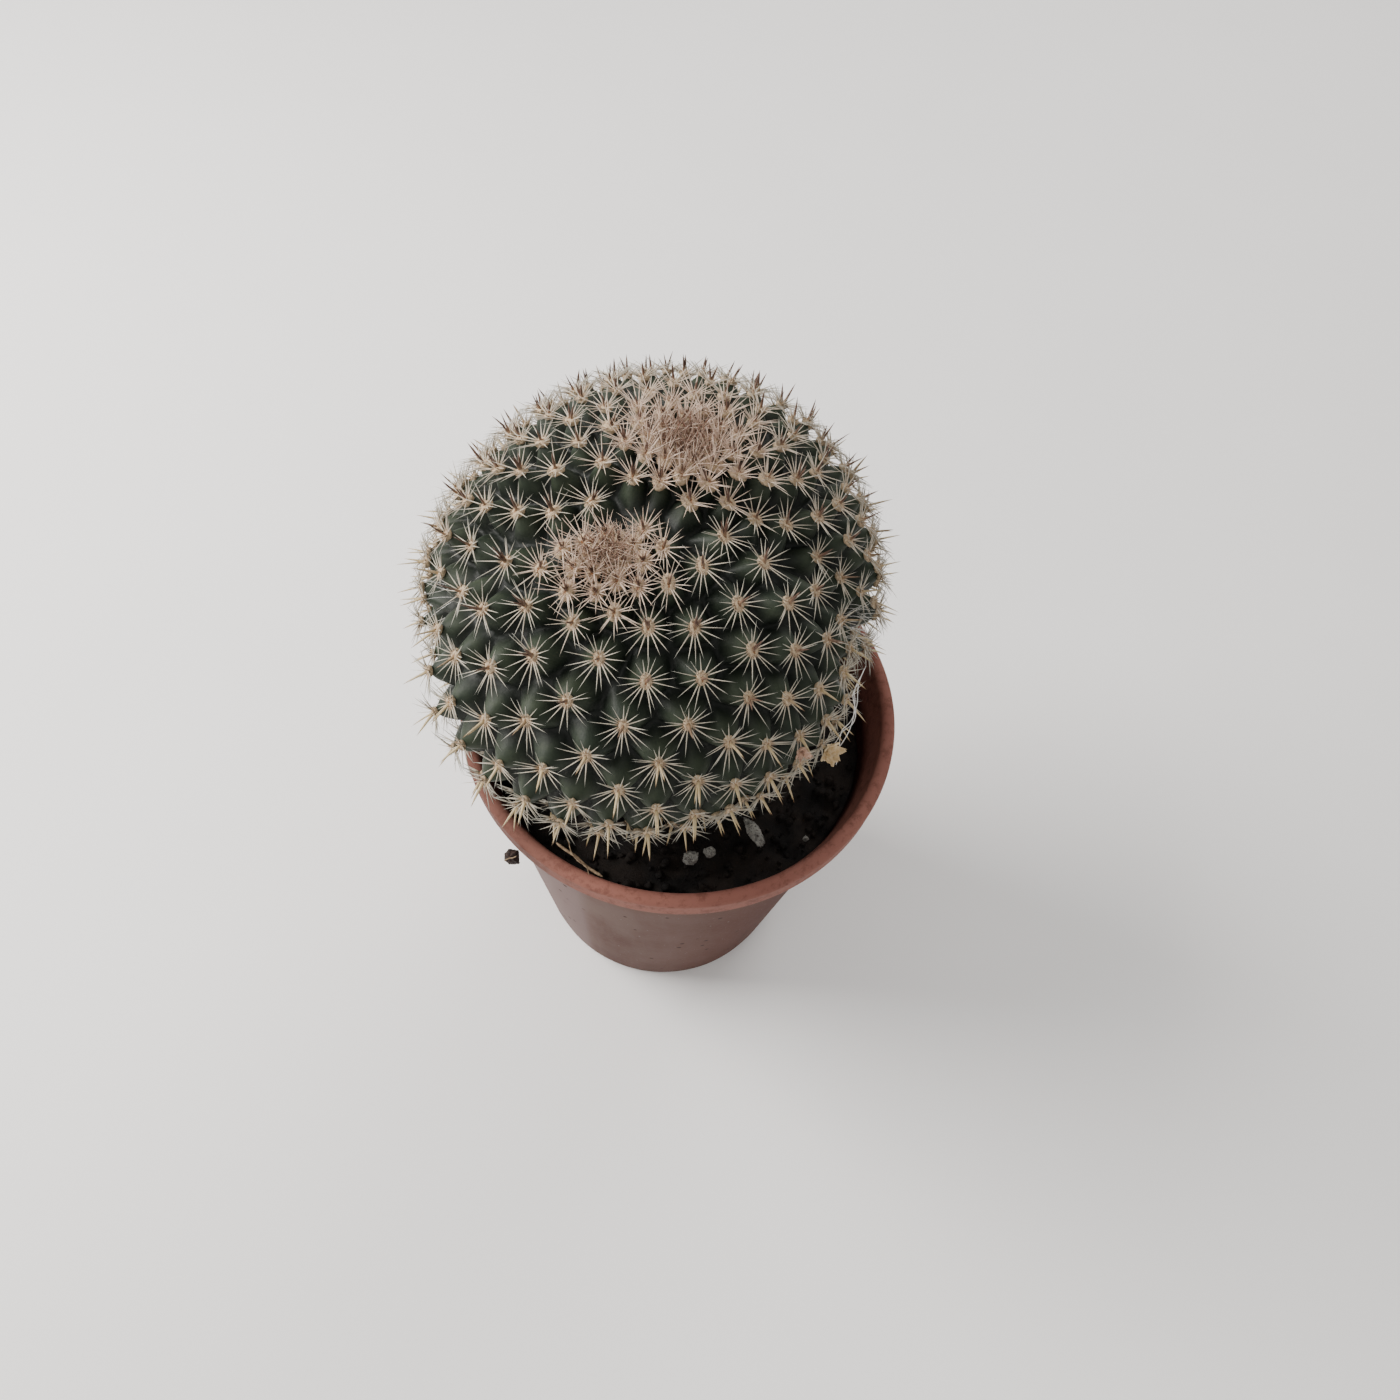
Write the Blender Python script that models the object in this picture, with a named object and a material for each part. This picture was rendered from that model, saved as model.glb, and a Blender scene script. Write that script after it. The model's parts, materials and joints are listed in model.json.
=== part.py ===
"""A two-headed globular cactus growing in a round nursery pot, in metres, +Z up.

The origin is the middle of the pot's flat underside and the pot's axis is +Z. The stem is one
body with two growing points. Its skin is a closed net of cone-shaped tubercles, one for each
areole, and the areoles of each head follow a golden-angle spiral that starts at its crown.
"""

import math
import random

import bmesh
import bpy
from mathutils import Matrix, Vector

# Pot: one thin moulding with a rolled lip, a tapered wall and a flat floor with drain holes.
POT_HEIGHT = 0.102
LIP_RADIUS = 0.0525
LIP_WIDTH = 0.0034
LIP_BAND = 0.0068
LIP_EDGE = 0.0008
NECK_RADIUS = 0.0486
BASE_RADIUS = 0.0368
WALL = 0.0013
FLOOR = 0.0018
FOOT_ROUND = 0.0015
FLOOR_COVE = 0.0020
POT_STEPS = 56
DRAIN_HOLES = 6
DRAIN_RADIUS = 0.004
DRAIN_CIRCLE = 0.023
DRAIN_STEPS = 14

# Soil: fills the pot to a little under the lip, with a socket that the plant sits in. Each ring
# of its top is (share of the way to the stem's axis, radius, roughness).
SOIL_DEPTH_BELOW_LIP = 0.015
SOIL_STEPS = 40
SOIL_RINGS = ((0.15, 0.0420, 0.0010), (0.45, 0.0360, 0.0012), (0.80, 0.0290, 0.0008))
SOCKET_ROOM = 0.0010
GAP = 0.0003

# Stem: the outer surface of the tubercle tips, as half sizes round the stem's middle.
STEM_MIDDLE = Vector((-0.0083, 0.0060, POT_HEIGHT + 0.0274))
STEM_HALF = Vector((0.0540, 0.0480, 0.0484))
STEM_TURN = math.radians(61.0)
FOOT_SQUEEZE = 0.13
FULL_SQUEEZE = 0.8
FRONT_CROWN = Vector((-0.16, -0.42, 0.89)).normalized()
BACK_CROWN = Vector((0.09, 0.10, 0.99)).normalized()
DIVIDE_NORMAL = Vector((-0.10, 0.99, -0.12)).normalized()
DIVIDE_POINT = Vector((-0.0035, -0.0043, POT_HEIGHT + 0.0740))
DIVIDE_DEPTH = 0.0046
DIVIDE_WIDTH = 0.0060
DIVIDE_MARGIN = 0.0024
DIVIDE_FOOT = -0.6
CROWN_DIP = 0.0022
CROWN_DIP_ANGLE = math.radians(11.0)
FRONT_SPACING = 0.0103
BACK_SPACING = 0.0083
YOUNG_SPACING = 0.0029
GROWN_ANGLE = math.radians(27.0)
TUBERCLE_RISE = 0.58
LOWEST_AREOLE = 0.0915
UNDERSIDE_RINGS = ((math.radians(152.0), 12, 0.0445), (math.radians(167.0), 7, 0.0470))
ROOT_TIP = 0.0600
GOLDEN_ANGLE = math.pi * (3.0 - math.sqrt(5.0))

# The heads, each with its crown, the way its spiral winds, its side of the divide, the spacing
# of its grown areoles, and how many areoles on the next one of the same spiral row stands.
HEADS = (
    ("front", FRONT_CROWN, 1.0, -1.0, FRONT_SPACING, 13),
    ("back", BACK_CROWN, -1.0, 1.0, BACK_SPACING, 21),
)

# Spines: a few of each areole's spines, joined along the spiral rows that they grow in.
# The star's waist, thickness, lift and collar are shares of its rays' length.
CROWN_AREOLES = 26
SHORTEST_ROW = 3
RAYS = 5
RAY_REACH = 0.45
LONGEST_RAY = 0.0042
CENTRAL_SPINE = 0.0054
LIP_SHARE = 0.45
STAR_WAIST = 0.20
STAR_THICKNESS = 0.22
STAR_LIFT = 0.25
STAR_COLLAR = 0.06
COLLAR_RISE = 0.26


def clear_scene():
    for item in list(bpy.data.objects):
        bpy.data.objects.remove(item)


def material(name, colour, roughness, metallic=0.0):
    """A plain Principled material in the part's colour."""
    made = bpy.data.materials.new(name)
    made.use_nodes = True
    shader = made.node_tree.nodes["Principled BSDF"]
    shader.inputs["Base Color"].default_value = (*colour, 1.0)
    shader.inputs["Roughness"].default_value = roughness
    shader.inputs["Metallic"].default_value = metallic
    made.diffuse_color = (*colour, 1.0)
    return made


def add_object(name, mesh, finish, parent):
    made = bpy.data.objects.new(name, mesh)
    made.data.materials.append(finish)
    made.parent = parent
    bpy.context.scene.collection.objects.link(made)
    return made


def mesh_of(name, points, faces, smooth=False):
    """A mesh from points and faces, with its faces turned outwards."""
    mesh = bpy.data.meshes.new(name)
    mesh.from_pydata([tuple(p) for p in points], [], faces)
    shell = bmesh.new()
    shell.from_mesh(mesh)
    bmesh.ops.recalc_face_normals(shell, faces=shell.faces)
    shell.to_mesh(mesh)
    shell.free()
    if smooth:
        mesh.shade_smooth()
        mesh.set_sharp_from_angle(angle=math.radians(35.0))
    return mesh


def smoothstep(low, high, value):
    t = min(1.0, max(0.0, (value - low) / (high - low)))
    return t * t * (3.0 - 2.0 * t)


# ---------------------------------------------------------------- pot


def wall_radius(height):
    """The outer radius of the pot's tapered wall at a height."""
    share = height / (POT_HEIGHT - LIP_BAND)
    return BASE_RADIUS + (NECK_RADIUS - BASE_RADIUS) * share


def arc(centre, radius, start, end, count):
    """Points of an arc in the (radius, height) plane, angles in degrees."""
    angles = [math.radians(start + (end - start) * i / (count - 1)) for i in range(count)]
    return [(centre[0] + radius * math.cos(a), centre[1] + radius * math.sin(a)) for a in angles]


def pot_profile():
    """The pot's section, from the middle of the underside round the lip to the middle of the floor."""
    crest = LIP_WIDTH / 2.0
    foot = (wall_radius(0.0) - FOOT_ROUND, FOOT_ROUND)
    under_lip = POT_HEIGHT - LIP_BAND
    profile = [(0.0, 0.0)]
    profile += arc(foot, FOOT_ROUND, -90.0, 0.0, 3)
    profile += [(wall_radius(under_lip - LIP_EDGE), under_lip - LIP_EDGE)]
    profile += [(LIP_RADIUS - LIP_EDGE, under_lip), (LIP_RADIUS, under_lip + LIP_EDGE)]
    profile += arc((LIP_RADIUS - crest, POT_HEIGHT - crest), crest, 0.0, 180.0, 7)
    profile += [(NECK_RADIUS - WALL, under_lip - 2.0 * WALL)]
    profile += [(wall_radius(FLOOR + FLOOR_COVE) - WALL, FLOOR + FLOOR_COVE)]
    profile += [(wall_radius(FLOOR) - WALL - FLOOR_COVE, FLOOR), (0.0, FLOOR)]
    return profile


def turned(name, profile, steps):
    """A closed body of revolution round +Z whose section starts and ends on the axis."""
    points = [(0.0, 0.0, profile[0][1])]
    for radius, height in profile[1:-1]:
        for i in range(steps):
            angle = math.tau * i / steps
            points.append((radius * math.cos(angle), radius * math.sin(angle), height))
    points.append((0.0, 0.0, profile[-1][1]))
    faces = []
    rings = len(profile) - 2
    for i in range(steps):
        j = (i + 1) % steps
        faces.append((0, 1 + j, 1 + i))
        for ring in range(rings - 1):
            low = 1 + ring * steps
            faces.append((low + i, low + j, low + steps + j, low + steps + i))
        last = 1 + (rings - 1) * steps
        faces.append((last + i, last + j, len(points) - 1))
    return mesh_of(name, points, faces, smooth=True)


def add_cutter(name, radius, place, parent):
    """A hidden drill for one drain hole."""
    mesh = bpy.data.meshes.new(name)
    shell = bmesh.new()
    bmesh.ops.create_cone(
        shell, cap_ends=True, segments=DRAIN_STEPS, radius1=radius, radius2=radius, depth=4.0 * FLOOR
    )
    shell.to_mesh(mesh)
    shell.free()
    cutter = bpy.data.objects.new(name, mesh)
    cutter.location = place
    cutter.parent = parent
    cutter.hide_render = True
    cutter.display_type = "WIRE"
    bpy.context.scene.collection.objects.link(cutter)
    return cutter


def add_pot(parent):
    """The turned pot with its drain holes. EXACT leaves the floor open round them, MANIFOLD doesn't."""
    plastic = material("pot_plastic", (0.235, 0.105, 0.075), 0.55)
    pot = add_object("pot", turned("pot", pot_profile(), POT_STEPS), plastic, parent)
    for i in range(DRAIN_HOLES):
        angle = math.tau * (i + 0.5) / DRAIN_HOLES
        place = (DRAIN_CIRCLE * math.cos(angle), DRAIN_CIRCLE * math.sin(angle), FLOOR / 2.0)
        drill = pot.modifiers.new(f"drain_{i + 1}", "BOOLEAN")
        drill.operation = "DIFFERENCE"
        drill.solver = "MANIFOLD"
        drill.object = add_cutter(f"drain_drill_{i + 1}", DRAIN_RADIUS, place, parent)


# ---------------------------------------------------------------- stem


def envelope(direction):
    """How far the tubercle tips stand from the stem's middle in a direction."""
    squeeze = 1.0 - FOOT_SQUEEZE * smoothstep(0.0, FULL_SQUEEZE, -direction.z)
    half = (STEM_HALF.x * squeeze, STEM_HALF.y * squeeze, STEM_HALF.z)
    own = Matrix.Rotation(-STEM_TURN, 3, "Z") @ direction
    reach = 1.0 / Vector((own[i] / half[i] for i in range(3))).length
    aside = (STEM_MIDDLE + direction * reach - DIVIDE_POINT).dot(DIVIDE_NORMAL)
    if direction.z > DIVIDE_FOOT:
        reach -= DIVIDE_DEPTH * math.exp(-((aside / DIVIDE_WIDTH) ** 2))
    for crown in (FRONT_CROWN, BACK_CROWN):
        reach -= CROWN_DIP * math.exp(-((direction.angle(crown) / CROWN_DIP_ANGLE) ** 2))
    return reach


def outward(direction):
    """The direction that the stem's surface faces."""
    own = Matrix.Rotation(-STEM_TURN, 3, "Z") @ direction
    slope = Vector((own[i] / STEM_HALF[i] ** 2 for i in range(3))).normalized()
    return Matrix.Rotation(STEM_TURN, 3, "Z") @ slope


def spacing_at(angle, grown):
    """The distance between areoles at an angle from the crown: young ones stand closer."""
    return YOUNG_SPACING + (grown - YOUNG_SPACING) * smoothstep(0.0, GROWN_ANGLE, angle)


def spiral_angles(grown):
    """Each areole's angle from the crown, by how many areoles the skin up to there holds."""
    radius = sum(STEM_HALF) / 3.0
    step = math.radians(0.05)
    angles = []
    held = 0.0
    angle = 0.0
    while angle < math.pi:
        area = math.tau * radius**2 * math.sin(angle) * step
        held += area / (math.sqrt(0.75) * spacing_at(angle, grown) ** 2)
        angle += step
        if held > len(angles) + 0.5:
            angles.append(angle)
    return angles


def head_areoles(head, crown, turn, side, grown):
    """The areoles of one head that lie on its own side of the divide, above the soil."""
    tilt = Vector((0.0, 0.0, 1.0)).rotation_difference(crown)
    found = []
    for index, angle in enumerate(spiral_angles(grown)):
        round_crown = turn * GOLDEN_ANGLE * index
        flat = Vector((math.cos(round_crown), math.sin(round_crown), 0.0)) * math.sin(angle)
        direction = tilt @ (flat + Vector((0.0, 0.0, math.cos(angle))))
        point = STEM_MIDDLE + direction * envelope(direction)
        aside = (point - DIVIDE_POINT).dot(DIVIDE_NORMAL) * side
        if point.z > LOWEST_AREOLE and aside > DIVIDE_MARGIN:
            found.append({"head": head, "index": index, "direction": direction, "point": point,
                          "rise": spacing_at(angle, grown) * TUBERCLE_RISE, "normal": outward(direction)})
    return found


def net_of(directions):
    """The triangles of the net that joins the nearest directions."""
    shell = bmesh.new()
    for number, direction in enumerate(directions):
        shell.verts.new(direction).index = number
    bmesh.ops.convex_hull(shell, input=shell.verts, use_existing_faces=False)
    shell.faces.ensure_lookup_table()
    triangles = [tuple(v.index for v in face.verts) for face in shell.faces]
    shell.free()
    return triangles


def underside_points():
    """The smooth, corky underside: two rings and a root tip that stand in the soil."""
    found = []
    for polar, count, reach in UNDERSIDE_RINGS:
        for i in range(count):
            angle = math.tau * i / count
            flat = Vector((math.cos(angle), math.sin(angle), 0.0)) * math.sin(polar)
            found.append((flat + Vector((0.0, 0.0, math.cos(polar))), reach))
    found.append((Vector((0.0, 0.0, -1.0)), ROOT_TIP))
    return found


def add_stem(areoles, parent):
    """One body: a cone for each areole over the net's valleys, and the plain underside."""
    underside = underside_points()
    directions = [a["direction"] for a in areoles] + [d for d, _ in underside]
    points = [a["point"] for a in areoles] + [STEM_MIDDLE + d * reach for d, reach in underside]
    rises = [a["rise"] for a in areoles] + [0.0] * len(underside)
    triangles = net_of(directions)
    valleys = {}
    for triangle in triangles:
        middle = (points[triangle[0]] + points[triangle[1]] + points[triangle[2]]) / 3.0
        sunk = sum(rises[i] for i in triangle) / 3.0
        inward = (STEM_MIDDLE - middle).normalized()
        sides = [tuple(sorted((triangle[i], triangle[i - 1]))) for i in range(3)]
        points.append(middle + inward * sunk)
        for side in sides:
            valleys.setdefault(side, []).append(len(points) - 1)
    faces = []
    for (first, second), (left, right) in valleys.items():
        faces.append((first, left, right))
        faces.append((second, right, left))
    green = material("stem_skin", (0.030, 0.048, 0.034), 0.6)
    add_object("stem", mesh_of("stem", points, faces), green, parent)
    return {side for side in valleys if max(side) < len(areoles)}


# ---------------------------------------------------------------- spines


def joined_rows(areoles, head, row_step, neighbours):
    """The areoles of one head as its crown and its spiral rows, each with the links inside it."""
    at = {a["index"]: n for n, a in enumerate(areoles) if a["head"] == head}
    groups = [[n for index, n in at.items() if index < CROWN_AREOLES]]
    for start in range(row_step):
        row = []
        for index in range(start, max(at) + 1, row_step):
            if index < CROWN_AREOLES or index not in at:
                continue
            if row and tuple(sorted((row[-1], at[index]))) not in neighbours:
                groups.append(row)
                row = []
            row.append(at[index])
        if row:
            groups.append(row)
    groups = [g for g in groups if g]
    crown, rows = groups[0], sorted(groups[1:], key=len, reverse=True)
    while len(rows[-1]) < SHORTEST_ROW:
        short = rows.pop()
        beside = [r for r in rows if any(touching(a, b, neighbours) for a in short for b in r)]
        host = min(beside, key=len) if beside else crown
        host += short
        rows.sort(key=len, reverse=True)
    return [crown] + rows


def touching(first, second, neighbours):
    return tuple(sorted((first, second))) in neighbours


def links_of(group, areoles, neighbours):
    """The fewest and shortest links that hold a group of areoles together."""
    joined = {group[0]}
    links = []
    while len(joined) < len(group):
        open_ends = [
            ((areoles[a]["point"] - areoles[b]["point"]).length, a, b)
            for a in joined for b in group if b not in joined and touching(a, b, neighbours)
        ]
        _, first, second = min(open_ends)
        links.append((first, second))
        joined.add(second)
    return links


def room_to_lip(point):
    """The free space between a point over or inside the pot and its rolled lip."""
    from_crest = abs(math.hypot(point.x, point.y) - LIP_RADIUS + LIP_WIDTH / 2.0)
    above = max(0.0, point.z - POT_HEIGHT)
    return math.hypot(max(0.0, from_crest - LIP_WIDTH / 2.0), above)


def spine_reach(number, areoles, neighbours):
    """How long an areole's side spines are, so that they stop short of those beside it."""
    here = areoles[number]["point"]
    beside = [sum(pair) - number for pair in neighbours if number in pair]
    nearest = min((areoles[other]["point"] - here).length for other in beside)
    return min(LONGEST_RAY, RAY_REACH * nearest, LIP_SHARE * room_to_lip(here))


def ray_angles(fixed):
    """The angles of all the rays of an areole: the links' own, and free ones in the widest gaps."""
    fixed = sorted(fixed)
    spare = [0] * len(fixed)
    gaps = [(fixed[(i + 1) % len(fixed)] - fixed[i]) % math.tau or math.tau for i in range(len(fixed))]
    for _ in range(max(0, RAYS - len(fixed))):
        widest = max(range(len(fixed)), key=lambda i: gaps[i] / (spare[i] + 1))
        spare[widest] += 1
    angles = []
    for start, gap, count in zip(fixed, gaps, spare):
        angles += [(start + gap * k / (count + 1), k == 0) for k in range(count + 1)]
    return angles


def add_star(points, faces, areole, reach, linked):
    """One areole's pad and spines. It returns the three open corners of each link."""
    normal = areole["normal"]
    east = normal.orthogonal().normalized()
    north = normal.cross(east)

    def at(angle, out, up):
        side = east * math.cos(angle) + north * math.sin(angle)
        points.append(areole["point"] + side * out + normal * (GAP + up))
        return len(points) - 1

    angles = {}
    for other, toward in linked:
        angles[math.atan2(toward.dot(north), toward.dot(east)) % math.tau] = other
    rays = ray_angles(list(angles) or [0.0])
    waist = STAR_WAIST * reach
    thick = STAR_THICKNESS * reach
    base = at(0.0, 0.0, 0.0)
    inner = []
    for i, (angle, _) in enumerate(rays):
        gap = (rays[(i + 1) % len(rays)][0] - angle) % math.tau or math.tau
        inner.append(at(angle + gap / 2.0, waist, thick / 2.0))
    outline = []
    doors = {}
    for i, (angle, fixed) in enumerate(rays):
        before, after = inner[i - 1], inner[i]
        if fixed and angle in angles:
            tip = at(angle, waist, thick)
            doors[angles[angle]] = (before, tip, after)
            faces.append((base, before, after))
        else:
            tip = at(angle, reach, thick + STAR_LIFT * reach)
            faces.append((base, before, tip))
            faces.append((base, tip, after))
        outline += [(tip, angle), (after, (angle + rays[(i + 1) % len(rays)][0]) / 2.0)]
    collar = [at(math.tau * i / 3.0, STAR_COLLAR * reach, COLLAR_RISE * reach) for i in range(3)]
    central = at(0.0, 0.0, thick + CENTRAL_SPINE * min(1.0, reach / LONGEST_RAY))
    nearest = []
    for number, _ in outline:
        nearest.append(min(range(3), key=lambda i: (points[number] - points[collar[i]]).length))
    for i in range(len(outline)):
        j = (i + 1) % len(outline)
        faces.append((outline[i][0], outline[j][0], collar[nearest[i]]))
        if nearest[i] != nearest[j]:
            faces.append((outline[j][0], collar[nearest[j]], collar[nearest[i]]))
    for i in range(3):
        faces.append((collar[i], collar[(i + 1) % 3], central))
    return doors


def add_spines(name, group, areoles, neighbours, finish, parent):
    """One closed body: the areoles of a row, each linked to the next by a pair of side spines."""
    points, faces, doors = [], [], {}
    links = links_of(group, areoles, neighbours)
    for number in group:
        here = areoles[number]["point"]
        others = [sum(link) - number for link in links if number in link]
        linked = [(other, areoles[other]["point"] - here) for other in others]
        reach = spine_reach(number, areoles, neighbours)
        doors[number] = add_star(points, faces, areoles[number], reach, linked)
    for first, second in links:
        a_before, a_top, a_after = doors[first][second]
        b_before, b_top, b_after = doors[second][first]
        faces.append((a_before, a_top, b_top, b_after))
        faces.append((a_top, a_after, b_before, b_top))
        faces.append((a_after, a_before, b_after, b_before))
    add_object(name, mesh_of(name, points, faces), finish, parent)


def add_all_spines(areoles, neighbours, parent):
    horn = material("spine_horn", (0.56, 0.46, 0.34), 0.55)
    young = material("young_spine_horn", (0.42, 0.27, 0.19), 0.6)
    for head, *_, row_step in HEADS:
        crown, *rows = joined_rows(areoles, head, row_step, neighbours)
        add_spines(f"crown_spines_{head}", crown, areoles, neighbours, young, parent)
        for i, row in enumerate(rows):
            add_spines(f"spine_row_{head}_{i + 1:02d}", row, areoles, neighbours, horn, parent)


# ---------------------------------------------------------------- soil and what lies on it


def socket_rings(top):
    """The socket under the stem: its mouth at the soil's surface, and a ring below the skin."""
    wide, deep = [
        (reach * math.sin(polar), STEM_MIDDLE.z + reach * math.cos(polar))
        for polar, _, reach in UNDERSIDE_RINGS
    ]
    share = (top - deep[1]) / (wide[1] - deep[1])
    mouth = deep[0] + (wide[0] - deep[0]) * share + SOCKET_ROOM
    return [(1.0, mouth, top - GAP, 0.0), (1.0, deep[0] + SOCKET_ROOM, deep[1] - SOCKET_ROOM, 0.0)]


def add_soil(parent):
    """One body: compost inside the pot, crumbly on top, with a socket under the stem."""
    rng = random.Random(11)
    top = POT_HEIGHT - SOIL_DEPTH_BELOW_LIP
    low = FLOOR + GAP
    lean = Vector((STEM_MIDDLE.x, STEM_MIDDLE.y, 0.0))
    foot = wall_radius(FLOOR) - WALL - FLOOR_COVE - GAP
    cove = low + FLOOR_COVE
    rings = [(0.0, foot, low, 0.0), (0.0, wall_radius(cove) - WALL - 2.0 * GAP, cove, 0.0)]
    rings += [(0.0, wall_radius(top) - WALL - 2.0 * GAP, top, 0.0)]
    rings += [(shift, radius, top, rough) for shift, radius, rough in SOIL_RINGS]
    rings += socket_rings(top)
    points = [Vector((0.0, 0.0, low))]
    for shift, radius, height, rough in rings:
        for i in range(SOIL_STEPS):
            angle = math.tau * i / SOIL_STEPS
            point = lean * shift + Vector((math.cos(angle), math.sin(angle), 0.0)) * radius
            point.z = height + rng.uniform(-rough, rough)
            points.append(point)
    points.append(Vector((lean.x, lean.y, STEM_MIDDLE.z - ROOT_TIP - 4.0 * GAP)))
    faces = []
    for i in range(SOIL_STEPS):
        j = (i + 1) % SOIL_STEPS
        faces.append((0, 1 + j, 1 + i))
        for ring in range(len(rings) - 1):
            a = 1 + ring * SOIL_STEPS
            faces.append((a + i, a + j, a + SOIL_STEPS + j, a + SOIL_STEPS + i))
        last = 1 + (len(rings) - 1) * SOIL_STEPS
        faces.append((last + i, last + j, len(points) - 1))
    compost = material("compost", (0.012, 0.010, 0.009), 0.95)
    add_object("soil", mesh_of("soil", points, faces), compost, parent)


def add_lump(name, place, size, turn, seed, finish, parent):
    """A small rough grain: an icosphere pushed in and out, stretched and turned."""
    rng = random.Random(seed)
    shell = bmesh.new()
    bmesh.ops.create_icosphere(shell, subdivisions=1, radius=1.0)
    for vert in shell.verts:
        vert.co *= rng.uniform(0.78, 1.12)
    bmesh.ops.scale(shell, verts=shell.verts, vec=[s / 2.0 for s in size])
    bmesh.ops.rotate(shell, verts=shell.verts, matrix=Matrix.Rotation(turn, 3, "Z"))
    mesh = bpy.data.meshes.new(name)
    shell.to_mesh(mesh)
    shell.free()
    lump = add_object(name, mesh, finish, parent)
    lump.location = place


def add_stalk(name, start, end, radius, finish, parent):
    """A thin straight blade of dry grass between two points."""
    shell = bmesh.new()
    along = end - start
    bmesh.ops.create_cone(
        shell, cap_ends=True, segments=6, radius1=radius, radius2=0.6 * radius, depth=along.length
    )
    mesh = bpy.data.meshes.new(name)
    shell.to_mesh(mesh)
    shell.free()
    stalk = add_object(name, mesh, finish, parent)
    stalk.location = (start + end) / 2.0
    stalk.rotation_euler = along.to_track_quat("Z", "Y").to_euler()


def add_loose_pieces(parent):
    """Perlite on the compost, dried flowers on the stem, and a chip and a straw at the lip."""
    top = POT_HEIGHT - SOIL_DEPTH_BELOW_LIP
    perlite = material("perlite", (0.42, 0.41, 0.38), 0.9)
    grains = (
        ((0.0064, -0.0357, top + 0.0030), (0.0040, 0.0036, 0.0030), 0.4),
        ((0.0106, -0.0340, top + 0.0030), (0.0032, 0.0034, 0.0028), 1.3),
        ((0.0208, -0.0275, top + 0.0034), (0.0078, 0.0034, 0.0030), 2.2),
        ((0.0333, -0.0274, top + 0.0024), (0.0017, 0.0014, 0.0013), 0.2),
    )
    for i, (place, size, turn) in enumerate(grains):
        add_lump(f"perlite_grain_{i + 1}", place, size, turn, 20 + i, perlite, parent)
    petals = material("dried_petal", (0.45, 0.30, 0.16), 0.8)
    flowers = (
        ((0.0312, -0.0284, 0.1338), (0.0042, 0.0036, 0.0048), 0.5),
        ((0.0250, -0.0322, 0.1395), (0.0036, 0.0032, 0.0038), 1.9),
    )
    for i, (place, size, turn) in enumerate(flowers):
        add_lump(f"dried_flower_{i + 1}", place, size, turn, 40 + i, petals, parent)
    bark = material("bark", (0.05, 0.035, 0.03), 0.85)
    add_lump("bark_chip", (-0.0332, -0.0442, 0.0992), (0.0036, 0.0030, 0.0046), 0.9, 51, bark, parent)
    dry_grass = material("straw", (0.35, 0.27, 0.18), 0.7)
    start, end = Vector((-0.0235, -0.0416, 0.1032)), Vector((-0.0127, -0.0476, 0.1027))
    add_stalk("straw", start, end, 0.00035, dry_grass, parent)


def main():
    clear_scene()
    whole = bpy.data.objects.new("potted_cactus", None)
    bpy.context.scene.collection.objects.link(whole)
    add_pot(whole)
    areoles = []
    for head, crown, turn, side, grown, _ in HEADS:
        areoles += head_areoles(head, crown, turn, side, grown)
    neighbours = add_stem(areoles, whole)
    add_all_spines(areoles, neighbours, whole)
    add_soil(whole)
    add_loose_pieces(whole)


main()
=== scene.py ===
"""A two-headed globular cactus in a round nursery pot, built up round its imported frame."""

import json
import math
import random

import bmesh
import bpy
import numpy as np
from mathutils import Euler, Matrix, Vector, kdtree, noise

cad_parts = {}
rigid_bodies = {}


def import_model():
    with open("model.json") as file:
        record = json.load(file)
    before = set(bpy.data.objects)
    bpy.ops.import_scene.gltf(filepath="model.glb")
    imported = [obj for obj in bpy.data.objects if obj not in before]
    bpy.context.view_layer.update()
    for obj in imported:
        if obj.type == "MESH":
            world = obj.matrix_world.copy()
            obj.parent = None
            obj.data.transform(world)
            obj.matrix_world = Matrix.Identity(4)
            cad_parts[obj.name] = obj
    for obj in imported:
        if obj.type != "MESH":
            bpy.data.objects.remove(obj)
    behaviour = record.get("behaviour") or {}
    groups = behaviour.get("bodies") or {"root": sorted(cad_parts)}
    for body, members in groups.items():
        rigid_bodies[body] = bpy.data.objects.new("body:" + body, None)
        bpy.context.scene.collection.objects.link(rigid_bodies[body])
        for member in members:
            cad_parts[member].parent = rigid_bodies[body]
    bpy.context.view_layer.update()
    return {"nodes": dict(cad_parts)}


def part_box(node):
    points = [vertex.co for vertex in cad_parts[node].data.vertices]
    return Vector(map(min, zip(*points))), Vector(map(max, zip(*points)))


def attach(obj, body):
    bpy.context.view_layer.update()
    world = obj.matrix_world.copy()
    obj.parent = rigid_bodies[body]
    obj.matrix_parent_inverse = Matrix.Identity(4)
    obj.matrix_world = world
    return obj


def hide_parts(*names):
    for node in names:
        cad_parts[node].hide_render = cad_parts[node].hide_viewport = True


for leftover in list(bpy.data.objects):
    bpy.data.objects.remove(leftover)
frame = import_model()


# ---------------------------------------------------------------- studio
# The pot stands on a pale table in soft light from the upper left, and is looked down on from
# close by, as someone watering it would.

LIP_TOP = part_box("pot")[1].z
LIP_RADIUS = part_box("pot")[1].x
CAMERA_RISE = math.radians(58.6)
CAMERA_AWAY = 0.2538
CAMERA_LENS = 27.0
CAMERA_TURN = (31.18, -4.22, 4.93)
PLANT_MIDDLE = Vector((0.0, 0.0, 0.1))
ROOM_LIGHT = 0.58
TABLE_HALF = 3.0
# Each lamp: its name, place, size, power and tint.
LAMPS = (
    ("window", (-0.68, 0.10, 0.62), 0.5, 14.0, (1.0, 0.965, 0.93)),
    ("front_fill", (-0.35, -0.75, 0.7), 0.7, 1.6, (1.0, 0.95, 0.92)),
    ("back_fill", (0.35, 0.75, 0.7), 0.6, 4.0, (1.0, 0.97, 0.95)),
)


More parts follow.
